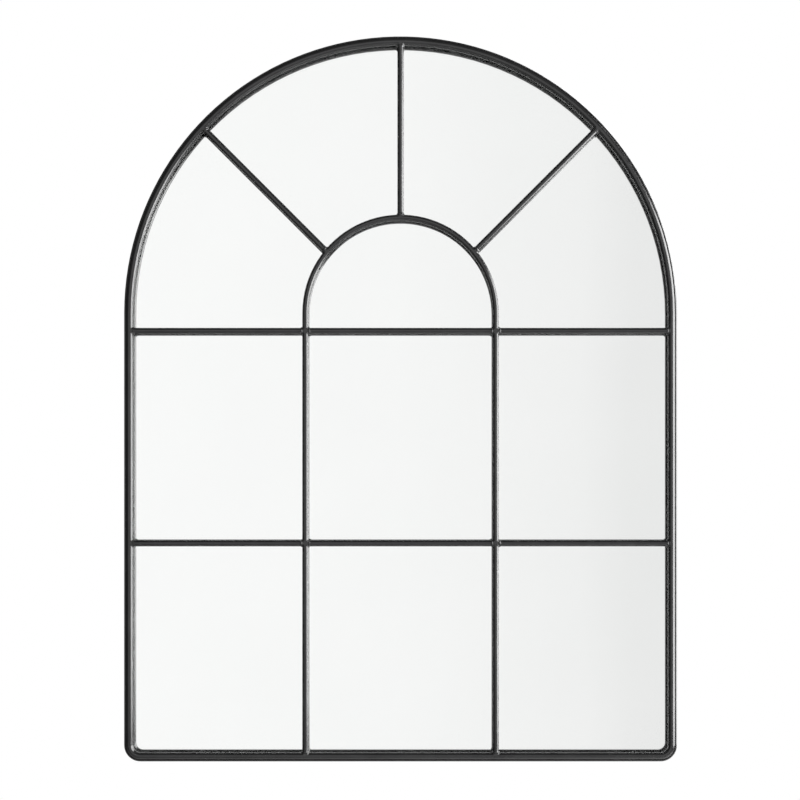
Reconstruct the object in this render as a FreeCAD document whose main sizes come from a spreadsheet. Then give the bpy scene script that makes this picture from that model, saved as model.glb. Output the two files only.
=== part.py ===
import FreeCAD, Part
import os
import re
import Sketcher
from FreeCAD import Vector
from math import pi, sqrt

# An arched window mirror: a steel strip bent to an arched outline, a round bead inside it, a grille of
# coped round rods, and behind them the glass, its foam sheet and its board. All lengths are in mm.
# X runs to the right, Z up and Y from the viewer to the wall. The origin is at the middle of the base.

SIZES = {
    # Outline of the steel strip, over its outer face
    "width": 610.0,
    "height": 800.0,
    "corner_radius": 18.0,
    "strip_thickness": 2.0,
    "strip_depth": 22.0,
    "strip_setback": 2.0,  # from the front of the bead to the front edge of the strip
    "strip_edge_radius": 1.8,  # of the outer front edge, which is rolled nearly to the full thickness
    "wall_gap": 1.0,  # from the rear edge of the strip to the wall
    # Front bead and grille
    "bead_diameter": 8.0,
    "rod_diameter": 7.0,
    "leg_spacing": 210.0,  # between the centre lines of the legs, and so across the inner arch
    "upper_bar_drop": 20.0,  # from the springing line down to the upper bars
    "spoke_angle": 45.0,
    "spoke_aim_drop": 14.0,  # the slanted spokes point this far below the middle of the arch
    "weld_gap": 0.05,
    # Glass and backing
    "glass_seat_gap": 0.2,
    "glass_thickness": 4.0,
    "glass_edge_gap": 1.5,
    "glass_arris": 0.5,
    "foam_thickness": 1.0,
    "foam_edge_gap": 4.0,
    "board_thickness": 6.0,
    "board_edge_gap": 1.0,
    # Angle lugs that hold the board
    "lug_thickness": 1.5,
    "lug_width": 16.0,
    "lug_reach": 18.0,
    "lug_rise": 3.5,
    "lug_bend_radius": 1.0,
    "lug_corner_radius": 3.0,
    "lug_hole_inset": 11.0,
    "lug_weld_gap": 0.15,
    "side_lug_height": 110.0,
    "side_lug_pitch": 260.0,
    "bottom_lug_offset": 150.0,
    "arch_lug_start": 15.0,  # degrees above the springing line
    # Pan-head screws
    "screw_diameter": 3.5,
    "screw_reach": 5.0,  # from under the head to the point
    "screw_point": 1.5,
    "screw_head_diameter": 7.0,
    "screw_head_height": 2.0,
    "screw_head_rim": 0.6,
    "screw_recess_width": 1.0,
    "screw_recess_length": 4.0,
    "screw_recess_depth": 1.0,
    "screw_hole_clearance": 0.5,
    "pilot_clearance": 0.05,
    # Ring hangers
    "hanger_rise": 65.0,  # from the springing line up to the pivots
    "hanger_inset": 55.0,
    "ring_wire": 3.0,
    "ring_width": 25.0,  # between the centre lines of the arms
    "ring_drop": 20.0,  # from the centre of the pivot to the centre line of the bow
    "ring_corner_radius": 2.5,
    "ring_clearance": 0.05,
    "strap_thickness": 1.2,
    "strap_width": 14.0,
    "strap_length": 34.0,
    "strap_end_radius": 4.0,
    "strap_hole_start": 11.0,
    "strap_hole_pitch": 15.0,
    # Rubber bumpers
    "bumper_diameter": 12.0,
    "bumper_face_diameter": 8.0,
    "bumper_inset": 70.0,
    "bumper_low_height": 45.0,
    "bumper_top_angle": 55.0,  # degrees above the springing line
}
ARCH_LUGS = 5

# Places worked out from the sizes, each as text that the document can read
WALL = "((strip_setback + strip_depth + wall_gap) / 2)"
FRONT = f"(-{WALL})"
GRILLE = f"({FRONT} + bead_diameter / 2)"
STRIP_FRONT = f"({FRONT} + strip_setback)"
GLASS_FRONT = f"({FRONT} + bead_diameter + glass_seat_gap)"
FOAM_FRONT = f"({GLASS_FRONT} + glass_thickness)"
BOARD_FRONT = f"({FOAM_FRONT} + foam_thickness)"
BOARD_BACK = f"({BOARD_FRONT} + board_thickness)"
SPRING_LINE = "(height - width / 2)"
BEAD_INSET = "(strip_thickness + bead_diameter / 2)"
BEAD_LINE = f"(width / 2 - {BEAD_INSET})"
INNER_FACE = "(width / 2 - strip_thickness)"
LEG = "(leg_spacing / 2)"
COPE = "(rod_diameter / 2 + weld_gap)"
BEAD_COPE = "(bead_diameter / 2 + weld_gap)"
BORE = "(ring_wire / 2 + ring_clearance)"
KNUCKLE = f"({BORE} + strap_thickness)"
PIVOT = f"({BOARD_BACK} + {KNUCKLE})"
BUMPER_HEIGHT = f"({WALL} - {BOARD_BACK})"
UPPER_BAR = f"({SPRING_LINE} - upper_bar_drop)"
# The panes above and below the lower bars are equally high
LOWER_BAR = f"(({UPPER_BAR} + strip_thickness + bead_diameter - rod_diameter / 2) / 2)"
HANGER_OUT = "(width / 2 - hanger_inset)"
HANGER_UP = f"({SPRING_LINE} + hanger_rise)"
BUMPER_OUT = "(width / 2 - bumper_inset)"
SAME_PLACE = 1e-4

doc = FreeCAD.newDocument("window_mirror")
sheet = doc.addObject("Spreadsheet::Sheet", "Sizes")
for row, (name, value) in enumerate(SIZES.items(), start=1):
    sheet.set(f"A{row}", name)
    sheet.set(f"B{row}", str(value))
    sheet.setAlias(f"B{row}", name)
doc.recompute()
subparts = []


# --- Expressions, bodies and sketches ---


def bound(text):
    """An expression with each size's name pointing at its cell."""
    return re.sub(r"[a-z]\w+", lambda m: f"Sizes.{m[0]}" if m[0] in SIZES else m[0], str(text))


def number(text):
    """The value that an expression of sizes has now."""
    return float(sheet.evalExpression(bound(text)))


def bind(thing, **sizes):
    """Binds properties to expressions. A double underscore in a name stands for a dot."""
    for name, text in sizes.items():
        thing.setExpression(name.replace("__", "."), bound(text))


def place(thing, x="0", y="0", z="0", turn=None, axis=Vector(0, 1, 0)):
    """Binds a placement: where the thing's own origin lies, and its turn in degrees about an axis."""
    bind(thing, Placement__Base__x=x, Placement__Base__y=y, Placement__Base__z=z)
    if turn is not None:
        bind(thing, Placement__Rotation__Axis__x=axis.x, Placement__Rotation__Axis__y=axis.y)
        bind(thing, Placement__Rotation__Axis__z=axis.z, Placement__Rotation__Angle=turn)


def finished(thing, label):
    """Names a sub-part and lists it for export."""
    thing.Label = label
    subparts.append(thing)
    return thing


def new_body(label, **where):
    body = doc.addObject("PartDesign::Body", label + "_body")
    place(body, **where)
    return body


def new_sketch(body, name, plane):
    """A sketch on one of the body's own origin planes: XY, XZ or YZ."""
    sketch = body.newObject("Sketcher::SketchObject", f"{body.Name}_{name}")
    support = next(o for o in body.Origin.OriginFeatures if o.Role == plane + "_Plane")
    sketch.AttachmentSupport = [(support, "")]
    sketch.MapMode = "FlatFace"
    return sketch


def fix(sketch, kind, *where, value):
    """Adds a dimension to a sketch and binds it to an expression."""
    index = sketch.addConstraint(Sketcher.Constraint(kind, *where, number(value)))
    sketch.setExpression(f"Constraints[{index}]", bound(value))


def line(sketch, x1, y1, x2, y2):
    return sketch.addGeometry(Part.LineSegment(Vector(x1, y1), Vector(x2, y2)))


def arc(sketch, x, y, radius, start, end):
    """An arc about a point, anticlockwise between two angles in degrees."""
    circle = Part.Circle(Vector(x, y), Vector(0, 0, 1), radius)
    return sketch.addGeometry(Part.ArcOfCircle(circle, start * pi / 180, end * pi / 180))


def circle(sketch, x, y, radius):
    """A circle whose centre and radius are expressions."""
    centre = Vector(number(x), number(y))
    index = sketch.addGeometry(Part.Circle(centre, Vector(0, 0, 1), number(radius)))
    fix(sketch, "Radius", index, value=radius)
    pin(sketch, index, 3, x, y)
    return index


def pin(sketch, index, end, x, y):
    """Holds a point of a sketch at two expressions."""
    for kind, value in (("DistanceX", x), ("DistanceY", y)):
        if value == "0":
            axis = -2 if kind == "DistanceX" else -1
            sketch.addConstraint(Sketcher.Constraint("PointOnObject", index, end, axis))
        else:
            fix(sketch, kind, -1, 1, index, end, value=value)


def polygon(sketch, *points):
    """A closed outline of straight lines through points given as pairs of expressions."""
    spots = [(number(x), number(y)) for x, y in points]
    lines = [line(sketch, *spots[i], *spots[(i + 1) % len(spots)]) for i in range(len(spots))]
    for i, (x, y) in enumerate(points):
        sketch.addConstraint(Sketcher.Constraint("Coincident", lines[i - 1], 2, lines[i], 1))
        pin(sketch, lines[i], 1, x, y)
    return lines


def pad(body, sketch, length, reverse=False, middle=False):
    feature = body.newObject("PartDesign::Pad", sketch.Name + "_pad")
    feature.Profile = sketch
    feature.Reversed = reverse
    feature.Midplane = middle
    bind(feature, Length=length)
    doc.recompute()
    return feature


def pocket(body, sketch, length, reverse=False, middle=False):
    before = body.Shape.Volume
    feature = body.newObject("PartDesign::Pocket", sketch.Name + "_pocket")
    feature.Profile = sketch
    feature.Reversed = reverse
    feature.Midplane = middle
    bind(feature, Length=length)
    doc.recompute()
    if body.Shape.Volume >= before:
        raise RuntimeError(feature.Name + " cuts nothing")
    return feature


def pipe(body, path, profile):
    feature = body.newObject("PartDesign::AdditivePipe", path.Name + "_pipe")
    feature.Profile = profile
    feature.Spine = path
    doc.recompute()
    return feature


def soften(body, kind, size, wanted):
    """Fillets or chamfers the edges of a body's last feature for which wanted(edge) holds."""
    base = body.Tip
    names = [f"Edge{i}" for i, edge in enumerate(base.Shape.Edges, start=1) if wanted(edge)]
    feature = body.newObject("PartDesign::" + kind, f"{base.Name}_{kind.lower()}")
    feature.Base = (base, names)
    bind(feature, **{"Radius" if kind == "Fillet" else "Size": size})
    doc.recompute()
    return feature


def lies_at(**planes):
    """A test for edges that lie in planes such as y=3, in the frame of the body's last feature."""

    def wanted(edge):
        box = edge.BoundBox
        return all(
            abs(getattr(box, axis.upper() + end) - at) < SAME_PLACE
            for axis, at in planes.items()
            for end in ("Min", "Max")
        )

    return wanted


# --- The arched outline ---


def arched_outline(sketch, inset):
    """The mirror's outline, moved in by an inset. The sketch's origin is the middle of the arch."""
    half = f"(width / 2 - {inset})"
    corner = f"(corner_radius - {inset})"
    drop = f"({SPRING_LINE} - {inset})"
    w, r, d = number(half), number(corner), number(drop)
    parts = [
        line(sketch, 0, -d, w - r, -d),
        arc(sketch, w - r, r - d, r, 270, 360),
        line(sketch, w, r - d, w, 0),
        arc(sketch, 0, 0, w, 0, 180),
        line(sketch, -w, 0, -w, r - d),
        arc(sketch, r - w, r - d, r, 180, 270),
        line(sketch, r - w, -d, 0, -d),
    ]
    for first, second in zip(parts, parts[1:]):
        sketch.addConstraint(Sketcher.Constraint("Tangent", first, 2, second, 1))
    sketch.addConstraint(Sketcher.Constraint("Coincident", parts[6], 2, parts[0], 1))
    for level in (parts[0], parts[6]):
        sketch.addConstraint(Sketcher.Constraint("Horizontal", level))
    for upright in (parts[2], parts[4]):
        sketch.addConstraint(Sketcher.Constraint("Vertical", upright))
    sketch.addConstraint(Sketcher.Constraint("Coincident", parts[3], 3, -1, 1))
    sketch.addConstraint(Sketcher.Constraint("PointOnObject", parts[0], 1, -2))
    fix(sketch, "Radius", parts[3], value=half)
    fix(sketch, "Radius", parts[1], value=corner)
    fix(sketch, "Radius", parts[5], value=corner)
    fix(sketch, "DistanceY", parts[0], 1, -1, 1, value=drop)


def arched_sheet(label, front, inset, thickness):
    """A flat sheet with the mirror's outline, its front face towards the viewer."""
    body = new_body(label, y=front, z=SPRING_LINE)
    sketch = new_sketch(body, "outline", "XZ")
    arched_outline(sketch, inset)
    pad(body, sketch, thickness, reverse=True)
    return body


# --- Frame ---


def make_strip():
    """The steel strip with its rounded front edge, in two lengths that are butt-welded at the springing line."""
    ring = arched_sheet("strip_ring", STRIP_FRONT, "0", "strip_depth")
    soften(ring, "Fillet", "strip_edge_radius", lies_at(y=0))
    opening = new_sketch(ring, "opening", "XZ")
    arched_outline(opening, "strip_thickness")
    pocket(ring, opening, "strip_depth")
    above = doc.addObject("Part::Box", "above_springing_line")
    bind(above, Length="2 * width", Width="2 * strip_depth", Height="height")
    place(above, x="-width", y=f"2 * {FRONT}", z=SPRING_LINE)
    for label, kind in (("strip_arch", "Part::Common"), ("strip_base", "Part::Cut")):
        length = doc.addObject(kind, label + "_length")
        length.Base = ring
        length.Tool = above
        finished(length, label)


def make_bead():
    """The round bead that runs just inside the front of the strip."""
    body = new_body("front_bead", y=GRILLE, z=SPRING_LINE)
    path = new_sketch(body, "path", "XZ")
    arched_outline(path, BEAD_INSET)
    profile = new_sketch(body, "profile", "YZ")
    circle(profile, "0", f"-({SPRING_LINE} - {BEAD_INSET})", "bead_diameter / 2")
    pipe(body, path, profile)
    return finished(body, "front_bead")


# --- Grille: one bent rod and nine straight ones, each end coped to the rod that it is welded to ---


def make_inner_arch():
    """The bent rod: two legs that stand on the bead, and the small arch that joins them."""
    body = new_body("inner_arch", y=GRILLE, z=BEAD_INSET)
    rise = f"({SPRING_LINE} - {BEAD_INSET})"
    half, top = number(LEG), number(rise)
    path = new_sketch(body, "path", "XZ")
    left = line(path, -half, 0, -half, top)
    bow = arc(path, 0, top, half, 0, 180)
    right = line(path, half, top, half, 0)
    path.addConstraint(Sketcher.Constraint("Tangent", left, 2, bow, 2))
    path.addConstraint(Sketcher.Constraint("Tangent", bow, 1, right, 1))
    path.addConstraint(Sketcher.Constraint("Vertical", left))
    path.addConstraint(Sketcher.Constraint("Vertical", right))
    path.addConstraint(Sketcher.Constraint("PointOnObject", left, 1, -1))
    path.addConstraint(Sketcher.Constraint("PointOnObject", right, 2, -1))
    path.addConstraint(Sketcher.Constraint("PointOnObject", bow, 3, -2))
    fix(path, "Radius", bow, value=LEG)
    fix(path, "DistanceY", -1, 1, bow, 3, value=rise)
    profile = new_sketch(body, "profile", "XY")
    circle(profile, f"-{LEG}", "0", "rod_diameter / 2")
    pipe(body, path, profile)
    saddle = new_sketch(body, "saddle", "YZ")
    circle(saddle, "0", "0", BEAD_COPE)
    pocket(body, saddle, "leg_spacing + 2 * rod_diameter", middle=True)
    return finished(body, "inner_arch")


def upright_tool(name, x, radius):
    """A standing cylinder, as a leg or a side of the bead fills it, for coping a bar."""
    tool = doc.addObject("Part::Cylinder", name)
    bind(tool, Radius=radius, Height="height")
    place(tool, x=x, y=GRILLE)
    return tool


def arch_tool(name, arch_radius, radius):
    """A ring about the middle of the arch, as the bead or the small arch fills it, for coping a spoke."""
    tool = doc.addObject("Part::Torus", name)
    bind(tool, Radius1=arch_radius, Radius2=radius)
    place(tool, y=GRILLE, z=SPRING_LINE, turn=90, axis=Vector(1, 0, 0))
    return tool


def coped_rod(label, length, where, tools):
    """A straight rod with its ends cut to sit on round ones."""
    rod = doc.addObject("Part::Cylinder", label + "_rod")
    bind(rod, Radius="rod_diameter / 2", Height=length)
    place(rod, y=GRILLE, **where)
    ends = doc.addObject("Part::Compound", label + "_ends")
    ends.Links = tools
    coped = doc.addObject("Part::Cut", label + "_coped")
    coped.Base = rod
    coped.Tool = ends
    return finished(coped, label)


def make_bars():
    """Two rows of three bars. The legs run through, so each bar ends at a leg or at the bead."""
    bead_left = upright_tool("bead_left", f"-{BEAD_LINE}", BEAD_COPE)
    leg_left = upright_tool("leg_left", f"-{LEG}", COPE)
    leg_right = upright_tool("leg_right", LEG, COPE)
    bead_right = upright_tool("bead_right", BEAD_LINE, BEAD_COPE)
    bays = {
        "left": (f"-{BEAD_LINE}", f"{BEAD_LINE} - {LEG}", [bead_left, leg_left]),
        "centre": (f"-{LEG}", "leg_spacing", [leg_left, leg_right]),
        "right": (LEG, f"{BEAD_LINE} - {LEG}", [leg_right, bead_right]),
    }
    for row, z in {"upper_bar": UPPER_BAR, "lower_bar": LOWER_BAR}.items():
        for bay, (x, length, tools) in bays.items():
            where = {"x": x, "z": z, "turn": 90}
            coped_rod(f"{row}_{bay}", length, where, tools)


def make_spokes():
    """Three spokes from the small arch to the bead. The slanted two point a little below its middle."""
    inner = arch_tool("inner_ring", LEG, COPE)
    outer = arch_tool("outer_ring", BEAD_LINE, BEAD_COPE)
    for side, turn in {"left": "-spoke_angle", "centre": "0", "right": "spoke_angle"}.items():

        def reach(radius):
            """How far along the spoke a circle about the middle of the arch is met."""
            along = f"spoke_aim_drop * cos({turn})"
            across = f"spoke_aim_drop * sin({turn})"
            return f"({along} + sqrt({radius} ^ 2 - ({across}) ^ 2))"

        start = reach(LEG)
        where = {
            "x": f"{start} * sin({turn})",
            "z": f"{SPRING_LINE} - spoke_aim_drop + {start} * cos({turn})",
            "turn": turn,
        }
        coped_rod(f"spoke_{side}", f"{reach(BEAD_LINE)} - {start}", where, [inner, outer])


# --- Fasteners, which repeat: each is made once and stands wherever a station says ---


def copies(label, pattern, stations):
    """One sub-part made of separate copies of a solid, one at each station."""
    group = doc.addObject("Part::Compound", label + "_group")
    links = []
    for i, station in enumerate(stations, start=1):
        link = doc.addObject("App::Link", f"{label}_{i}")
        link.LinkedObject = pattern
        link.LinkTransform = False
        place(link, **station)
        links.append(link)
    group.Links = links
    return finished(group, label)


def lug_stations():
    """Where the lugs stand, on the strip's inner face: up both sides, along the base and round the arch."""
    stations = []
    for step in range(2):
        z = f"side_lug_height + {step} * side_lug_pitch"
        stations.append({"x": f"-{INNER_FACE}", "z": z, "turn": "0"})
        stations.append({"x": INNER_FACE, "z": z, "turn": "180"})
    for side in ("-", ""):
        stations.append({"x": f"{side}bottom_lug_offset", "z": "strip_thickness", "turn": "-90"})
    for step in range(ARCH_LUGS):
        angle = f"(arch_lug_start + (180 - 2 * arch_lug_start) * {step} / {ARCH_LUGS - 1})"
        x = f"{INNER_FACE} * cos({angle})"
        z = f"{SPRING_LINE} + {INNER_FACE} * sin({angle})"
        stations.append({"x": x, "z": z, "turn": f"180 - {angle}"})
    return [dict(station, y=BOARD_BACK) for station in stations]


def lug_screw_stations():
    """The screws, one in each lug's hole, each turned with its lug."""
    stations = []
    for lug in lug_stations():
        x = f"{lug['x']} + lug_hole_inset * cos({lug['turn']})"
        z = f"{lug['z']} - lug_hole_inset * sin({lug['turn']})"
        stations.append({"x": x, "y": f"{BOARD_BACK} + lug_thickness", "z": z, "turn": lug["turn"]})
    return stations


def hanger_screw_stations():
    """The screws that hold the two hanger straps."""
    stations = []
    for side in ("-", ""):
        for step in range(2):
            z = f"{HANGER_UP} + strap_hole_start + {step} * strap_hole_pitch"
            y = f"{BOARD_BACK} + strap_thickness"
            stations.append({"x": side + HANGER_OUT, "y": y, "z": z, "turn": "0"})
    return stations


def bumper_stations():
    """The bumpers: two low at the sides, and two near the top that follow the arch."""
    stations = []
    for side in ("-", ""):
        stations.append({"x": side + BUMPER_OUT, "z": "bumper_low_height"})
        x = f"{side}{BUMPER_OUT} * cos(bumper_top_angle)"
        z = f"{SPRING_LINE} + {BUMPER_OUT} * sin(bumper_top_angle)"
        stations.append({"x": x, "z": z})
    return [dict(station, y=BOARD_BACK) for station in stations]


def lug_pattern():
    """An angle lug. Its foot lies on the board and points away from the strip, to which its riser is welded."""
    body = new_body("lug")
    start = "lug_weld_gap"
    inner = "(lug_weld_gap + lug_thickness)"
    sketch = new_sketch(body, "section", "XY")
    polygon(
        sketch,
        (start, "0"),
        ("lug_reach", "0"),
        ("lug_reach", "lug_thickness"),
        (inner, "lug_thickness"),
        (inner, "lug_rise"),
        (start, "lug_rise"),
    )
    pad(body, sketch, "lug_width", middle=True)
    soften(body, "Fillet", "lug_bend_radius", lies_at(x=number(inner), y=number("lug_thickness")))
    soften(body, "Fillet", "lug_bend_radius + lug_thickness", lies_at(x=number(start), y=0))
    for side in (0.5, -0.5):
        corner = lies_at(x=number("lug_reach"), z=number(f"lug_width * {side}"))
        soften(body, "Fillet", "lug_corner_radius", corner)
    hole = new_sketch(body, "hole", "XZ")
    circle(hole, "lug_hole_inset", "0", "(screw_diameter + screw_hole_clearance) / 2")
    pocket(body, hole, "lug_thickness")
    return body


def screw_pattern():
    """A pan-head screw along Y, its head towards the wall and the underside of the head at the origin."""
    body = new_body("screw")
    head, shank = number("screw_head_diameter / 2"), number("screw_diameter / 2")
    rim, top = number("screw_head_rim"), number("screw_head_height")
    reach, shoulder = number("screw_reach"), number("screw_reach - screw_point")
    sketch = new_sketch(body, "profile", "XY")
    spots = [(0, top), (0, -reach), (shank, -shoulder), (shank, 0), (head, 0), (head, rim)]
    lines = [line(sketch, *a, *b) for a, b in zip(spots, spots[1:])]
    sagitta = top - rim
    dome_radius = (head**2 + sagitta**2) / (2 * sagitta)
    halfway = Vector(head / 2, top - dome_radius + sqrt(dome_radius**2 - (head / 2) ** 2))
    dome = sketch.addGeometry(Part.Arc(Vector(head, rim), halfway, Vector(0, top)))
    for first, second in zip(lines, lines[1:]):
        sketch.addConstraint(Sketcher.Constraint("Coincident", first, 2, second, 1))
    sketch.addConstraint(Sketcher.Constraint("Coincident", lines[4], 2, dome, 1))
    sketch.addConstraint(Sketcher.Constraint("Coincident", dome, 2, lines[0], 1))
    sketch.addConstraint(Sketcher.Constraint("PointOnObject", dome, 3, -2))
    pin(sketch, lines[0], 1, "0", "screw_head_height")
    pin(sketch, lines[0], 2, "0", "-screw_reach")
    pin(sketch, lines[1], 2, "screw_diameter / 2", "-(screw_reach - screw_point)")
    pin(sketch, lines[2], 2, "screw_diameter / 2", "0")
    pin(sketch, lines[3], 2, "screw_head_diameter / 2", "0")
    pin(sketch, lines[4], 2, "screw_head_diameter / 2", "screw_head_rim")
    turned = body.newObject("PartDesign::Revolution", "screw_turned")
    turned.Profile = sketch
    turned.ReferenceAxis = (sketch, ["V_Axis"])
    turned.Angle = 360
    doc.recompute()
    long, short = "screw_recess_length", "screw_recess_width"
    for name, across, up in (("x", long, short), ("z", short, long)):
        slot = body.newObject("PartDesign::SubtractiveBox", f"screw_recess_{name}")
        bind(slot, Length=across, Width="screw_recess_depth", Height=up)
        place(slot, x=f"-{across} / 2", y="screw_head_height - screw_recess_depth", z=f"-{up} / 2")
        doc.recompute()
    return body


def bumper_pattern():
    """A tapered rubber bumper along Y, its base at the origin."""
    body = new_body("bumper")
    sketch = new_sketch(body, "profile", "XY")
    polygon(
        sketch,
        ("0", "0"),
        ("bumper_diameter / 2", "0"),
        ("bumper_face_diameter / 2", BUMPER_HEIGHT),
        ("0", BUMPER_HEIGHT),
    )
    turned = body.newObject("PartDesign::Revolution", "bumper_turned")
    turned.Profile = sketch
    turned.ReferenceAxis = (sketch, ["V_Axis"])
    turned.Angle = 360
    doc.recompute()
    return body


# --- Backing ---


def make_glass():
    """The mirror glass, silvered on its back, with its sharp edges ground off."""
    inset = "(strip_thickness + glass_edge_gap)"
    body = arched_sheet("mirror_glass", GLASS_FRONT, inset, "glass_thickness")
    for y in (0, number("glass_thickness")):
        soften(body, "Chamfer", "glass_arris", lies_at(y=y))
    return finished(body, "mirror_glass")


def make_foam():
    """The thin foam sheet that keeps the board off the silvering."""
    inset = "(strip_thickness + foam_edge_gap)"
    return finished(arched_sheet("foam_sheet", FOAM_FRONT, inset, "foam_thickness"), "foam_sheet")


def make_board():
    """The backing board, with a blind pilot hole for each screw."""
    inset = "(strip_thickness + board_edge_gap)"
    board = arched_sheet("board_blank", BOARD_FRONT, inset, "board_thickness")
    pilots = []
    for i, screw in enumerate(lug_screw_stations() + hanger_screw_stations(), start=1):
        pilot = doc.addObject("Part::Cylinder", f"pilot_{i}")
        bind(pilot, Radius="screw_diameter / 2 + pilot_clearance", Height="screw_reach")
        place(pilot, x=screw["x"], y=BOARD_BACK, z=screw["z"], turn=90, axis=Vector(1, 0, 0))
        pilots.append(pilot)
    holes = doc.addObject("Part::Compound", "pilots")
    holes.Links = pilots
    drilled = doc.addObject("Part::Cut", "board_drilled")
    drilled.Base = board
    drilled.Tool = holes
    return finished(drilled, "backing_board")


# --- Ring hangers ---


def make_strap(side, x):
    """A strap that lies on the board, rolled at its lower end round the straight bar of the ring."""
    body = new_body(f"hanger_strap_{side}", x=x, y=PIVOT, z=HANGER_UP)
    roll = new_sketch(body, "roll", "YZ")
    circle(roll, "0", "0", KNUCKLE)
    circle(roll, "0", "0", BORE)
    pad(body, roll, "strap_width", middle=True)
    leaf = new_sketch(body, "leaf", "YZ")
    back, front = f"-{KNUCKLE}", f"-{BORE}"
    corners = [(back, "0"), (front, "0"), (front, "strap_length"), (back, "strap_length")]
    polygon(leaf, *corners)
    pad(body, leaf, "strap_width", middle=True)
    for half in (0.5, -0.5):
        corner = lies_at(x=number(f"strap_width * {half}"), z=number("strap_length"))
        soften(body, "Fillet", "strap_end_radius", corner)
    holes = new_sketch(body, "holes", "XZ")
    for step in range(2):
        z = f"strap_hole_start + {step} * strap_hole_pitch"
        circle(holes, "0", z, "(screw_diameter + screw_hole_clearance) / 2")
    pocket(body, holes, f"2 * {KNUCKLE}", middle=True)
    return finished(body, f"hanger_strap_{side}")


def make_ring(side, x):
    """A D-shaped ring of round wire, hanging from its straight bar."""
    body = new_body(f"d_ring_{side}", x=x, y=PIVOT, z=HANGER_UP)
    half, corner = "(ring_width / 2)", "ring_corner_radius"
    centre = f"(ring_drop - {half})"
    w, r, d = number(half), number(corner), number(centre)
    path = new_sketch(body, "path", "XZ")
    parts = [
        line(path, 0, 0, r - w, 0),
        arc(path, r - w, -r, r, 90, 180),
        line(path, -w, -r, -w, -d),
        arc(path, 0, -d, w, 180, 360),
        line(path, w, -d, w, -r),
        arc(path, w - r, -r, r, 0, 90),
        line(path, w - r, 0, 0, 0),
    ]
    for first, second in zip(parts, parts[1:]):
        path.addConstraint(Sketcher.Constraint("Tangent", first, 2, second, 1))
    for level in (parts[0], parts[6]):
        path.addConstraint(Sketcher.Constraint("Horizontal", level))
    for upright in (parts[2], parts[4]):
        path.addConstraint(Sketcher.Constraint("Vertical", upright))
    path.addConstraint(Sketcher.Constraint("Coincident", parts[0], 1, -1, 1))
    path.addConstraint(Sketcher.Constraint("Coincident", parts[6], 2, -1, 1))
    path.addConstraint(Sketcher.Constraint("PointOnObject", parts[3], 3, -2))
    fix(path, "Radius", parts[1], value=corner)
    fix(path, "Radius", parts[5], value=corner)
    fix(path, "Radius", parts[3], value=half)
    fix(path, "DistanceY", parts[3], 3, -1, 1, value=centre)
    profile = new_sketch(body, "profile", "YZ")
    circle(profile, "0", "0", "ring_wire / 2")
    pipe(body, path, profile)
    return finished(body, f"d_ring_{side}")


def make_hangers():
    for side, x in {"left": "-" + HANGER_OUT, "right": HANGER_OUT}.items():
        make_strap(side, x)
        make_ring(side, x)


# --- The whole mirror ---


def check_document():
    """Stops if anything failed to build."""
    for thing in doc.Objects:
        bad = [state for state in thing.State if state in ("Invalid", "Error")]
        if bad:
            raise RuntimeError(f"{thing.Name} is {bad}")
    for part in subparts:
        if part.Shape.isNull() or not part.Shape.isValid():
            raise RuntimeError(f"{part.Label} has no valid shape")


make_strip()
make_bead()
make_inner_arch()
make_bars()
make_spokes()
make_glass()
make_foam()
make_board()
screw = screw_pattern()
copies("retaining_lugs", lug_pattern(), lug_stations())
copies("lug_screws", screw, lug_screw_stations())
make_hangers()
copies("hanger_screws", screw, hanger_screw_stations())
copies("wall_bumpers", bumper_pattern(), bumper_stations())
doc.recompute()
check_document()
os.makedirs("parts", exist_ok=True)
for part in subparts:
    part.Shape.exportStep(f"parts/{part.Label}.step")
    box = part.Shape.BoundBox
    print(f"{part.Label}: {len(part.Shape.Solids)} solids, {part.Shape.Volume:.0f} mm3, "
          f"x {box.XMin:.2f} {box.XMax:.2f} y {box.YMin:.2f} {box.YMax:.2f} z {box.ZMin:.2f} {box.ZMax:.2f}")
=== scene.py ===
from math import cos, pi, radians, sin, sqrt, tau

import bmesh
import bpy
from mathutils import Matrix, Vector

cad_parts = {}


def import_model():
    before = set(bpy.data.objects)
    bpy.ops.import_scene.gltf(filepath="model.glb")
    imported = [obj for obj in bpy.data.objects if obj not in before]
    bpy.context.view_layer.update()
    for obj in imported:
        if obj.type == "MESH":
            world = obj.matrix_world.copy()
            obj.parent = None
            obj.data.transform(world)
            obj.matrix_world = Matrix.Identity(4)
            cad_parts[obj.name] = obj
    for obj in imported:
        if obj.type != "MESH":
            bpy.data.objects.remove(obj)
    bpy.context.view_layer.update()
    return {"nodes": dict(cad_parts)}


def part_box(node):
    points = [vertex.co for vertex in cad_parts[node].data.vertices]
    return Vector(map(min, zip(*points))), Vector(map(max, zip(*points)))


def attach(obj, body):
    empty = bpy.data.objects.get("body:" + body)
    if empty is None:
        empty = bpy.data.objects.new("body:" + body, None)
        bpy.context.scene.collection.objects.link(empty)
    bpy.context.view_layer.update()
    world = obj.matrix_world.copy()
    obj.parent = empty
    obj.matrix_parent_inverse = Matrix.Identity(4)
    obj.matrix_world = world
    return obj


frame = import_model()
nodes = frame["nodes"]

# An arched window mirror seen from the front. The CAD frame carries every rigid piece; this script adds the
# silvering of the glass, the welds of the grille, the finishes, the studio and the camera.
# Lengths are in metres, X to the right, Z up and Y from the viewer to the wall.

MM = 0.001

# --- Places read from the frame ---

strip_low, strip_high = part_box("strip_base")
bead_low, bead_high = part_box("front_bead")
arch_low, arch_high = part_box("inner_arch")
glass_low, glass_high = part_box("mirror_glass")

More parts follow.
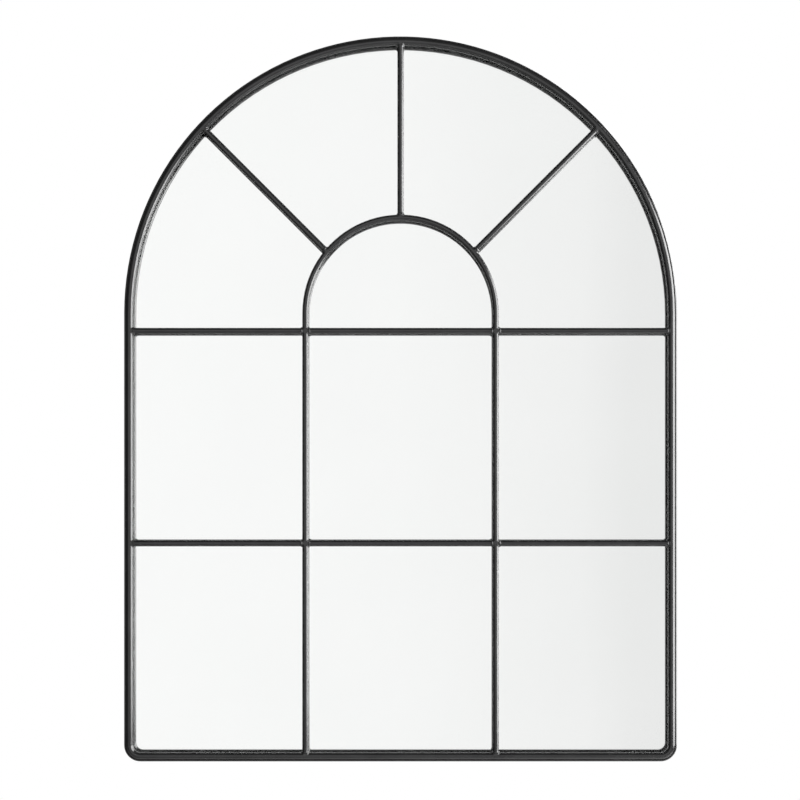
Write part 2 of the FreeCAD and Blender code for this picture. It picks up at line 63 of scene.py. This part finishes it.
BEAD_RADIUS = (bead_high.y - bead_low.y) / 2
ROD_RADIUS = (arch_high.y - arch_low.y) / 2
GRILLE_Y = (bead_low.y + bead_high.y) / 2  # of the centre lines of the bead and of all the rods
BEAD_LINE = bead_high.x - BEAD_RADIUS  # from the middle out to the bead's centre line
BEAD_BASE = bead_low.z + BEAD_RADIUS  # height of that line along the base
LEG = arch_high.x - ROD_RADIUS  # from the middle out to the centre line of a leg
SPRING_LINE = arch_high.z - ROD_RADIUS - LEG  # height at which the arches begin
OUTER_CORNER = 18 * MM  # radius of the strip's lower corners


# --- Materials ---


class Nodes:
    """A node tree and short ways to fill it."""

    def __init__(self, owner):
        owner.use_nodes = True
        self.tree = owner.node_tree

    def cleared(self, output):
        """Leaves nothing in the tree but a new output, and gives its surface input."""
        self.tree.nodes.clear()
        return self.add(output).inputs["Surface"]

    def put(self, socket, value):
        """Links or sets one input."""
        if isinstance(value, bpy.types.NodeSocket):
            self.tree.links.new(value, socket)
        else:
            socket.default_value = value

    def set(self, node, values):
        """Fills inputs by name. An underscore in a name stands for a space."""
        for key, value in values.items():
            self.put(node.inputs[key.replace("_", " ")], value)

    def add(self, kind, settings=None, **values):
        node = self.tree.nodes.new(kind)
        for key, value in (settings or {}).items():
            setattr(node, key, value)
        self.set(node, values)
        return node

    def joined(self, kind, *values, **settings):
        """A node whose inputs are filled in their order, such as a sum or a mix."""
        node = self.add(kind, settings)
        for socket, value in zip(node.inputs, values):
            self.put(socket, value)
        return node.outputs[0]

    def ranged(self, value, low, high, start=0.35, end=0.65, curve="LINEAR"):
        """A value spread from one band, by default the useful one of a pattern, onto another."""
        values = {"Value": value, "From Min": start, "From Max": end, "To Min": low, "To Max": high}
        return self.add("ShaderNodeMapRange", {"interpolation_type": curve}, **values).outputs["Result"]

    def ramp(self, value, stops):
        """Colours at rising places from 0 to 1."""
        node = self.add("ShaderNodeValToRGB", Fac=value)
        elements = node.color_ramp.elements
        while len(elements) < len(stops):
            elements.new(1.0)
        for i, (at, colour) in enumerate(stops):
            elements[i].position = at
            elements[i].color = (*colour, 1)
        return node.outputs["Color"]


class Finish(Nodes):
    """A material built round one Principled shader. Its patterns are measured on the object, in metres."""

    def __init__(self, name, **values):
        self.material = bpy.data.materials.new(name)
        super().__init__(self.material)
        self.shader = self.tree.nodes["Principled BSDF"]
        self.set(self.shader, values)
        self.place = self.add("ShaderNodeTexCoord").outputs["Object"]

    def stretched(self, x, y, z):
        """The place on the object, scaled along each axis, for patterns that run one way."""
        return self.add("ShaderNodeMapping", Vector=self.place, Scale=(x, y, z)).outputs["Vector"]

    def noise(self, grain, detail=2.0, place=None, roughness=0.5):
        """Soft noise whose spots are about one grain across."""
        values = {"Vector": place or self.place, "Scale": 1 / grain, "Detail": detail, "Roughness": roughness}
        return self.add("ShaderNodeTexNoise", **values).outputs["Fac"]

    def cells(self, grain):
        """Distance from the middle of a foam or leather cell about one grain across."""
        return self.add("ShaderNodeTexVoronoi", Vector=self.place, Scale=1 / grain).outputs["Distance"]

    def mixed(self, first, second, share):
        """Two patterns in one. The share is the second one's."""
        return self.add("ShaderNodeMix", Factor=share, A=first, B=second).outputs["Result"]

    def blend(self, value, *colours):
        """Colours spread evenly over the useful band of a pattern."""
        step = 0.4 / (len(colours) - 1)
        return self.ramp(value, [(0.3 + step * i, colour) for i, colour in enumerate(colours)])

    def bump(self, height, depth, strength=1.0, under=None):
        values = {"Height": height, "Distance": depth, "Strength": strength}
        if under is not None:
            values["Normal"] = under
        return self.add("ShaderNodeBump", **values).outputs["Normal"]

    def look(self, **values):
        self.set(self.shader, values)
        return self.material


def powder_coat(name="black_powder_coat", peel=0.005):
    """Satin black powder coat: faint orange peel and fine grain, in patches of slightly different black."""
    finish = Finish(name, IOR=1.58)
    skin = finish.bump(finish.noise(1.6 * MM), peel * MM)
    grained = finish.bump(finish.noise(0.35 * MM), 0.0007 * MM, under=skin)
    patches = finish.noise(22 * MM, detail=4.0)
    blacks = (0.005, 0.005, 0.0053), (0.008, 0.008, 0.0083), (0.012, 0.012, 0.0124)
    return finish.look(
        Base_Color=finish.blend(patches, *blacks),
        Roughness=finish.ranged(finish.noise(4 * MM, detail=5.0), 0.18, 0.26),
        Normal=grained,
    )


def float_glass():
    """Clear float glass with a faint green body."""
    finish = Finish("float_glass", Transmission_Weight=1.0, IOR=1.52)
    tint = finish.noise(180 * MM)
    return finish.look(
        Base_Color=finish.blend(tint, (0.985, 0.995, 0.988), (0.992, 0.998, 0.994)),
        Roughness=finish.ranged(finish.noise(60 * MM), 0.0, 0.004),
    )


def silvering():
    """The silver layer on the back of the glass, very slightly uneven."""
    finish = Finish("silvering", Metallic=1.0)
    cloud = finish.noise(140 * MM, detail=3.0)
    return finish.look(
        Base_Color=finish.blend(cloud, (0.955, 0.957, 0.955), (0.968, 0.970, 0.967)),
        Roughness=finish.ranged(finish.noise(90 * MM), 0.0, 0.012),
    )


def fibreboard():
    """Brown hardboard: short fibres lying every way, with darker flecks."""
    finish = Finish("fibreboard")
    fibres = finish.noise(1.4 * MM, detail=6.0, place=finish.stretched(1, 1, 0.25), roughness=0.65)
    clouds = finish.noise(45 * MM, detail=4.0)
    both = finish.mixed(fibres, clouds, 0.4)
    return finish.look(
        Base_Color=finish.blend(both, (0.145, 0.082, 0.042), (0.270, 0.165, 0.090), (0.360, 0.235, 0.140)),
        Roughness=finish.ranged(fibres, 0.62, 0.80),
        Normal=finish.bump(fibres, 0.08 * MM, 0.6),
    )


def foam():
    """White polyethylene foam with small closed cells."""
    finish = Finish("white_foam", Subsurface_Weight=0.05)
    cells = finish.cells(1.2 * MM)
    return finish.look(
        Base_Color=finish.blend(cells, (0.74, 0.74, 0.72), (0.86, 0.86, 0.84)),
        Roughness=finish.ranged(cells, 0.65, 0.80, start=0.0, end=0.8),
        Normal=finish.bump(cells, 0.15 * MM, 0.5),
    )


def zinc(name="zinc_plate"):
    """Bright zinc plate with a pale blue cast, dulled in patches and lightly scratched."""
    finish = Finish(name, Metallic=1.0)
    patches = finish.noise(3 * MM, detail=5.0)
    scratches = finish.noise(0.5 * MM, detail=3.0, place=finish.stretched(1, 1, 0.06))
    return finish.look(
        Base_Color=finish.blend(patches, (0.58, 0.60, 0.63), (0.70, 0.71, 0.72), (0.78, 0.77, 0.74)),
        Roughness=finish.ranged(patches, 0.24, 0.40),
        Normal=finish.bump(scratches, 0.01 * MM, 0.5),
    )


def rubber():
    """Dark moulded rubber with a dusty, finely grained skin."""
    finish = Finish("bumper_rubber")
    dust = finish.noise(2.5 * MM, detail=5.0)
    return finish.look(
        Base_Color=finish.blend(dust, (0.018, 0.018, 0.018), (0.040, 0.039, 0.038)),
        Roughness=finish.ranged(dust, 0.68, 0.86),
        Normal=finish.bump(finish.noise(0.3 * MM), 0.03 * MM, 0.6),
    )


def paint(material, *names):
    """Gives CAD nodes a finish in place of their own."""
    for name in names:
        slots = nodes[name].data.materials
        slots.clear()
        slots.append(material)


# --- Meshes ---


def mesh_of(name, shape):
    mesh = bpy.data.meshes.new(name)
    shape.to_mesh(mesh)
    shape.free()
    return mesh


def in_scene(name, data):
    thing = bpy.data.objects.new(name, data)
    bpy.context.scene.collection.objects.link(thing)
    return thing


def new_piece(name, mesh, material):
    """A piece of the object, carried by the mirror's body."""
    mesh.materials.append(material)
    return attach(in_scene(name, mesh), "mirror")


def arched_outline(inset, steps=128):
    """Points of the outline in X and Z, moved in by an inset, anticlockwise from the lower right corner."""
    half = strip_high.x - inset
    corner = OUTER_CORNER - inset
    base = strip_low.z + inset

    def bend(x, z, radius, start, sweep, count):
        turns = (start + sweep * i / count for i in range(count + 1))
        return [(x + radius * cos(turn), z + radius * sin(turn)) for turn in turns]

    right = bend(half - corner, base + corner, corner, -pi / 2, pi / 2, steps // 8)
    arch = bend(0, SPRING_LINE, half, 0, pi, steps)
    left = bend(corner - half, base + corner, corner, pi, pi / 2, steps // 8)
    return right + arch + left


def silver_sheet():
    """The silver layer: a thin sheet just inside the back of the glass."""
    edge_gap, cover, thickness = 0.6 * MM, 0.02 * MM, 0.05 * MM
    outline = arched_outline(strip_high.x - glass_high.x + edge_gap)
    back = glass_high.y - cover
    front = back - thickness
    shape = bmesh.new()
    rings = [[shape.verts.new((x, y, z)) for x, z in outline] for y in (front, back)]
    shape.faces.new(rings[0])
    shape.faces.new(rings[1][::-1])
    for i in range(len(outline)):
        shape.faces.new((rings[0][i - 1], rings[0][i], rings[1][i], rings[1][i - 1])[::-1])
    bmesh.ops.recalc_face_normals(shape, faces=shape.faces)
    return new_piece("silver_sheet", mesh_of("silver_sheet", shape), silvering())


# --- Welds ---

WELD_TURNS = 56  # sections round a rod
WELD_BENDS = 5  # steps across the face of a fillet
WELD_REACH = 1.1 * MM  # of a fillet along each rod
WELD_SUNK = 0.05 * MM  # how far its edges lie under the faces
# Outline of the round lump: place along its length, and share of its height
COLLAR = ((0.0, -0.1), (0.06, 0.45), (0.18, 0.85), (0.36, 1.0), (0.6, 0.75), (0.82, 0.3), (1.0, -0.1))
COLLAR_LENGTH = 2.4 * MM
COLLAR_OVERLAP = 0.2 * MM  # with the face of the other rod
COLLAR_FRONT = 0.44 * MM  # height of the lump toward the viewer, where the bead's front is the limit
COLLAR_SIDE = 0.85 * MM


def upright(x, radius):
    """Distance from the face of a standing rod."""
    return lambda p: sqrt((p.x - x) ** 2 + (p.y - GRILLE_Y) ** 2) - radius


def level(z, radius):
    """Distance from the face of a level rod."""
    return lambda p: sqrt((p.z - z) ** 2 + (p.y - GRILLE_Y) ** 2) - radius


def bow(bend, radius):
    """Distance from the face of a rod that is bent about the middle of the arch."""

    def away(p):
        across = sqrt(p.x**2 + (p.z - SPRING_LINE) ** 2) - bend
        return sqrt(across**2 + (p.y - GRILLE_Y) ** 2) - radius

    return away


def slope(away, p):
    """The direction straight out of a face."""
    step = 0.01 * MM
    parts = []
    for axis in (Vector((step, 0, 0)), Vector((0, step, 0)), Vector((0, 0, step))):
        parts.append(away(p + axis) - away(p - axis))
    return Vector(parts).normalized()


def rounds(out):
    """The directions square to a rod, all the way round it, each with its angle."""
    toward_viewer = Vector((0, -1, 0))
    side = out.cross(toward_viewer)
    for i in range(WELD_TURNS):
        turn = tau * i / WELD_TURNS
        yield turn, side * cos(turn) + toward_viewer * sin(turn)


def meeting_point(foot, out, skin, away):
    """Where a line along the face of a rod comes out of the other rod."""
    near, far = 0.0, 4 * BEAD_RADIUS
    for _ in range(40):
        middle = (near + far) / 2
        if away(foot + out * middle + skin * ROD_RADIUS) < 0:
            near = middle
        else:
            far = middle
    return foot + out * far + skin * ROD_RADIUS


def loft(shape, sections):
    """Joins closed sections, the last to the first."""
    rings = [[shape.verts.new(point) for point in section] for section in sections]
    for ring, following in zip(rings, rings[1:] + rings[:1]):
        for j in range(len(ring)):
            shape.faces.new((ring[j - 1], ring[j], following[j], following[j - 1]))


def fillet(foot, out, away, phase):
    """Sections of the fillet round the end of a rod, which runs out from its foot, where the axes meet."""
    for turn, skin in rounds(out):
        corner = meeting_point(foot, out, skin, away)
        face = slope(away, corner)
        size = WELD_REACH * (1 + 0.10 * sin(7 * turn + phase) + 0.07 * sin(13 * turn + 2.3 * phase))
        along = (skin - face * skin.dot(face)).normalized()
        top = corner + out * size
        base = corner + along * size
        base -= slope(away, base) * away(base)
        bulge = size * (0.80 - 0.75 * skin.dot(face))  # next to nothing where one face runs into the other
        crown = corner + (skin + face) * bulge
        section = [corner - (skin + face) * ROD_RADIUS * 0.25, top - skin * WELD_SUNK]
        for k in range(1, WELD_BENDS):
            t = k / WELD_BENDS
            section.append(top * (1 - t) ** 2 + crown * 2 * t * (1 - t) + base * t**2)
        section.append(base - slope(away, base) * WELD_SUNK)
        yield section


def collar(foot, out, away, phase):
    """Sections of the round lump at the end of a rod: steep toward the joint, and flatter away from it."""
    start = -away(foot) - COLLAR_OVERLAP
    for turn, skin in rounds(out):
        ripple = 0.9 + 0.07 * sin(5 * turn + phase) + 0.03 * sin(11 * turn + 1.7 * phase)
        length = COLLAR_LENGTH * ripple
        height = (COLLAR_FRONT + (COLLAR_SIDE - COLLAR_FRONT) * abs(cos(turn))) * ripple
        section = []
        for along, rise in COLLAR:
            section.append(foot + out * (start + along * length) + skin * (ROD_RADIUS + rise * height))
        section.append(foot + out * (start + length / 2) + skin * ROD_RADIUS * 0.8)
        yield section


def weld_piece(name, joints, material):
    """One piece that holds the welds of several joints."""
    shape = bmesh.new()
    for i, (foot, out, away) in enumerate(joints):
        loft(shape, fillet(foot, out, away, phase=2.1 * i))
        loft(shape, collar(foot, out, away, phase=1.3 * i))
    bmesh.ops.recalc_face_normals(shape, faces=shape.faces)
    mesh = mesh_of(name, shape)
    mesh.shade_smooth()
    mesh.set_sharp_from_angle(angle=pi / 3.5)
    return new_piece(name, mesh, material)


def spot(x, z):
    """A place in the plane of the grille."""
    return Vector((x, GRILLE_Y, z))


RIGHT, LEFT, UP = (Vector(v) for v in ((1, 0, 0), (-1, 0, 0), (0, 0, 1)))


def bar_joints():
    """Each bar meets a leg at one end or both, and the outer ones meet the bead."""
    joints = []
    for row in ("upper_bar", "lower_bar"):
        low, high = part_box(row + "_centre")
        z = (low.z + high.z) / 2
        for sign, inward, outward in ((-1, RIGHT, LEFT), (1, LEFT, RIGHT)):
            bead = upright(sign * BEAD_LINE, BEAD_RADIUS)
            leg = upright(sign * LEG, ROD_RADIUS)
            joints.append((spot(sign * BEAD_LINE, z), inward, bead))
            joints.append((spot(sign * LEG, z), outward, leg))
            joints.append((spot(sign * LEG, z), inward, leg))
    return joints


def foot_joints():
    """The legs stand on the lower run of the bead."""
    return [(spot(sign * LEG, BEAD_BASE), UP, level(BEAD_BASE, BEAD_RADIUS)) for sign in (-1, 1)]


def spoke_joints():
    """The spokes meet the small arch and the bead. The slanted ones stand at 45 degrees."""
    joints = []
    for name, out in (
        ("spoke_left", (LEFT + UP).normalized()),
        ("spoke_centre", UP),
        ("spoke_right", (RIGHT + UP).normalized()),
    ):
        low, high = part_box(name)
        middle = spot((low.x + high.x) / 2, (low.z + high.z) / 2)
        centre = spot(0, SPRING_LINE)
        nearest = middle + out * (centre - middle).dot(out)
        miss = (nearest - centre).length
        inner = nearest + out * sqrt(LEG**2 - miss**2)
        outer = nearest + out * sqrt(BEAD_LINE**2 - miss**2)
        joints.append((inner, out, bow(LEG, ROD_RADIUS)))
        joints.append((outer, -out, bow(BEAD_LINE, BEAD_RADIUS)))
    return joints


# --- Studio ---

FLOOR_DROP = 1.0
FLOOR_WHITE = 0.85  # share of plain white in what the camera sees of the floor; the rest is lit and shadowed
ROOM_LEVEL = 0.14
SIDE_LEVEL = 6.0  # of the light that the mirror passes on from the far right
FIELD_START = radians(22)  # steel sees the white field whole within this angle of straight ahead
FIELD_END = radians(44)  # and nothing of it past this one
FIELD_FADE = ((0.0, 1.03), (0.5, 0.965), (0.651, 0.905), (0.69, 0.856), (1.0, 0.76))  # from left to right


def stage_sheet(name, centre, width, height, material):
    """A level rectangle of the studio, which isn't part of the object."""
    shape = bmesh.new()
    bmesh.ops.create_grid(shape, x_segments=1, y_segments=1, size=0.5)
    mesh = mesh_of(name, shape)
    mesh.materials.append(material)
    sheet = in_scene(name, mesh)
    sheet.location = centre
    sheet.scale = (width, height, 1)


def world():
    """White to the camera and, fading to the right, in the mirror. Steel sees the same white only straight
    ahead, with a dim room round it."""
    made = bpy.data.worlds.new("studio")
    bpy.context.scene.world = made
    sky = Nodes(made)
    surface = sky.cleared("ShaderNodeOutputWorld")
    path = sky.add("ShaderNodeLightPath").outputs
    direction = sky.add("ShaderNodeTexCoord").outputs["Generated"]
    x, y, _ = sky.add("ShaderNodeSeparateXYZ", Vector=direction).outputs
    across = sky.ranged(x, 0, 1, start=-0.5, end=0.5)
    fade = sky.ramp(across, [(at, (level, level, level)) for at, level in FIELD_FADE])
    ahead = sky.ranged(y, ROOM_LEVEL, 1, start=-cos(FIELD_END), end=-cos(FIELD_START), curve="SMOOTHSTEP")
    side = sky.ranged(x, 1, SIDE_LEVEL, start=0.45, end=0.75)
    mirrored = sky.joined("ShaderNodeMath", path["Is Transmission Ray"], side, operation="MULTIPLY")
    strength = sky.joined("ShaderNodeMath", ahead, mirrored, operation="MAXIMUM")
    lit = sky.add("ShaderNodeBackground", Color=fade, Strength=strength).outputs[0]
    white = sky.add("ShaderNodeBackground", Color=(1, 1, 1, 1)).outputs[0]
    sky.put(surface, sky.joined("ShaderNodeMixShader", path["Is Camera Ray"], lit, white))


def pale_floor():
    """A floor that is lit and shadowed, and otherwise as white as the backdrop."""
    material = bpy.data.materials.new("pale_floor")
    cloth = Nodes(material)
    surface = cloth.cleared("ShaderNodeOutputMaterial")
    path = cloth.add("ShaderNodeLightPath").outputs
    direct, mirrored = path["Is Camera Ray"], path["Is Transmission Ray"]
    seen = cloth.joined("ShaderNodeMath", direct, mirrored, operation="MAXIMUM")
    share = cloth.joined("ShaderNodeMath", seen, FLOOR_WHITE, operation="MULTIPLY")
    lit = cloth.add("ShaderNodeBsdfDiffuse", Color=(0.62, 0.62, 0.62, 1)).outputs[0]
    white = cloth.add("ShaderNodeEmission").outputs[0]
    cloth.put(surface, cloth.joined("ShaderNodeMixShader", share, lit, white))
    return material


def lamp(name, place, aim, size, power):
    """A softbox that neither the camera nor the mirror shows."""
    data = bpy.data.lights.new(name, "AREA")
    data.shape = "RECTANGLE"
    data.size, data.size_y = size
    data.energy = power
    light = in_scene(name, data)
    light.location = place
    light.rotation_mode = "QUATERNION"
    light.rotation_quaternion = (Vector(aim) - Vector(place)).to_track_quat("-Z", "Y")
    light.visible_camera = False
    light.visible_transmission = False


def studio():
    """A white field in front, a large softbox at the right and a fill behind; dim at the left and above."""
    world()
    stage_sheet("floor", (0, -0.6, -FLOOR_DROP), 8.0, 7.6, pale_floor())
    lamp("right_softbox", place=(1.93, -0.52, 0.55), aim=(0, 0, 0.45), size=(2.3, 2.0), power=165.0)
    lamp("rear_fill", place=(1.7, 1.9, 1.9), aim=(0, 0, 0.4), size=(2.0, 2.0), power=80.0)


def camera():
    """Straight on, a little below the middle, with the frame shifted up as in the photograph."""
    picture_centre = Vector((-0.6 * MM, bead_low.y, 398.6 * MM))
    picture_width = 880.4 * MM
    distance = 1.30
    data = bpy.data.cameras.new("camera")
    data.sensor_width = 36.0
    data.lens = data.sensor_width * distance / picture_width
    data.shift_y = 0.10
    data.clip_start, data.clip_end = 0.05, 50.0
    eye = in_scene("camera", data)
    eye.location = picture_centre - Vector((0, distance, data.shift_y * picture_width))
    eye.rotation_euler = (pi / 2, 0, 0)
    bpy.context.scene.camera = eye


# --- Build ---

steel = powder_coat()
welds = powder_coat("weld_coat", peel=0.03)
rods = ["inner_arch", "spoke_left", "spoke_centre", "spoke_right"]
rods += [f"{row}_bar_{bay}" for row in ("upper", "lower") for bay in ("left", "centre", "right")]
paint(steel, "strip_arch", "strip_base", "front_bead", "retaining_lugs", *rods)
paint(float_glass(), "mirror_glass")
paint(fibreboard(), "backing_board")
paint(foam(), "foam_sheet")
paint(zinc(), "hanger_strap_left", "hanger_strap_right", "d_ring_left", "d_ring_right")
paint(zinc("zinc_screws"), "lug_screws", "hanger_screws")
paint(rubber(), "wall_bumpers")

silver_sheet()
weld_piece("bar_welds", bar_joints(), welds)
weld_piece("spoke_welds", spoke_joints(), welds)
weld_piece("foot_welds", foot_joints(), welds)

studio()
camera()

bpy.context.scene.view_settings.view_transform = "Standard"
